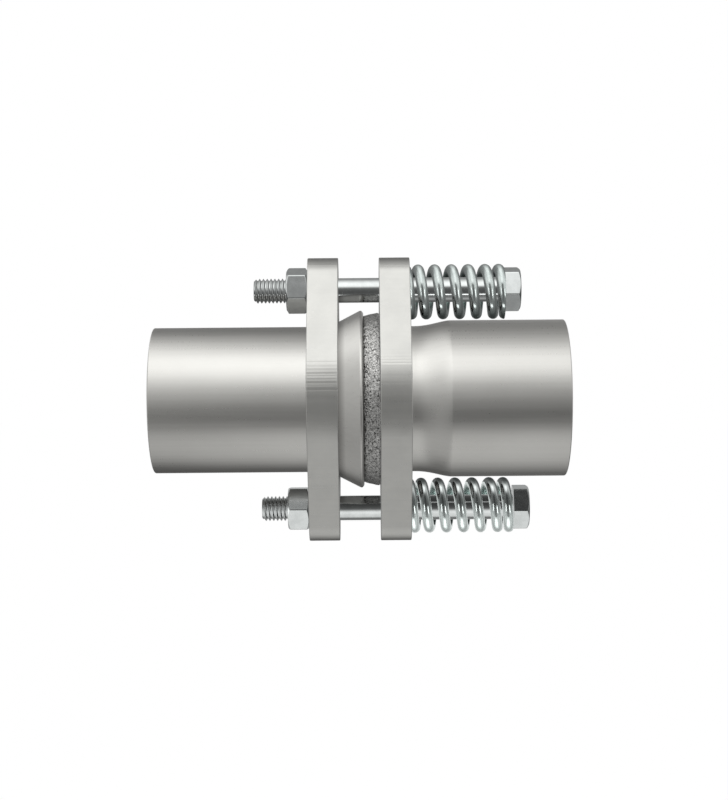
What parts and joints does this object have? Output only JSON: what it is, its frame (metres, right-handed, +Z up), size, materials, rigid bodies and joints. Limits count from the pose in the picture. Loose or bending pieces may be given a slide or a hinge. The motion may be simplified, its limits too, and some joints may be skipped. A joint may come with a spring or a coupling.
{
  "type": "exhaust flex pipe",
  "caption": "Spring-loaded spherical exhaust coupling: a flared inlet pipe seats on a wire-mesh ring at the flanged outlet socket, held by sprung through bolts.",
  "frame": {"origin": "centre of the inlet pipe's open end", "axes": "+X along the pipes from the inlet to the outlet, +Z up through the two bolts, +Y away from the picture's camera"},
  "size_m": [0.161, 0.0732, 0.1112],
  "materials": {
    "pipe_steel": "satin",
    "plate_steel": "satin",
    "mesh_ring": "matte",
    "zinc_fastener": "satin",
    "zinc_wire": "gloss"
  },
  "bodies": {
    "inlet": {"inlet_pipe": "pipe_steel"},
    "clamp": {"inlet_flange": "plate_steel", "upper_bolt": "zinc_fastener", "lower_bolt": "zinc_fastener", "upper_nut": "zinc_fastener", "lower_nut": "zinc_fastener"},
    "springs": {"upper_spring": "zinc_wire", "lower_spring": "zinc_wire"},
    "outlet": {"outlet_pipe": "pipe_steel", "outlet_flange": "plate_steel", "gasket": "mesh_ring"}
  },
  "joints": [
    {"name": "swivel", "type": "hinge", "parent": "inlet", "child": "clamp", "pos_m": [0.0664, 0, 0], "axis": [1, 0, 0], "continuous": true},
    {"name": "pitch", "type": "hinge", "parent": "clamp", "child": "springs", "pos_m": [0.09268, 0, 0], "axis": [0, 1, 0], "range_deg": [-2.5, 2.5], "stiffness_Nm_per_rad": 440, "deforming": ["upper_spring", "lower_spring"]},
    {"name": "yaw", "type": "hinge", "parent": "springs", "child": "outlet", "pos_m": [0.09268, 0, 0], "axis": [0, 0, 1], "range_deg": [-4, 4]}
  ]
}
